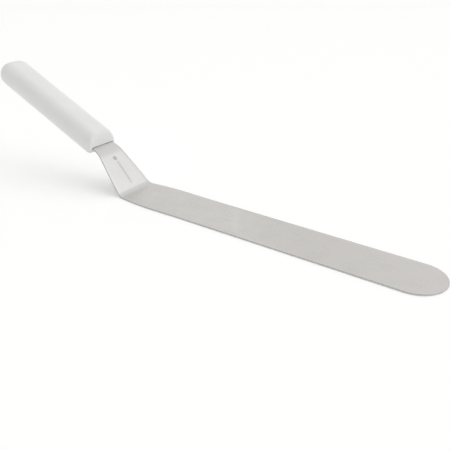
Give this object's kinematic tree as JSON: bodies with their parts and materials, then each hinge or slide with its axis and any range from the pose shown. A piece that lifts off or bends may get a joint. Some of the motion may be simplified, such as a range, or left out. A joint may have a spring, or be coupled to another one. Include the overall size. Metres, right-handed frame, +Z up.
{
  "type": "offset spatula",
  "caption": "Offset icing spatula: long flexible round-tipped steel blade, cranked up at its heel into a straight moulded plastic handle with a domed butt.",
  "frame": {"origin": "on the plane the blade's underside rests on, under the middle of the overall length and width", "axes": "+X from the handle towards the blade's tip, +Y across the blade, +Z up out of the blade's upper face"},
  "size_m": [0.3762, 0.0392, 0.0823],
  "materials": {
    "stainless": "fine satin grind along the blade",
    "polypropylene": "white, fine matt mould texture"
  },
  "bodies": {
    "root": {"blade": "stainless", "handle": "polypropylene"}
  },
  "joints": []
}
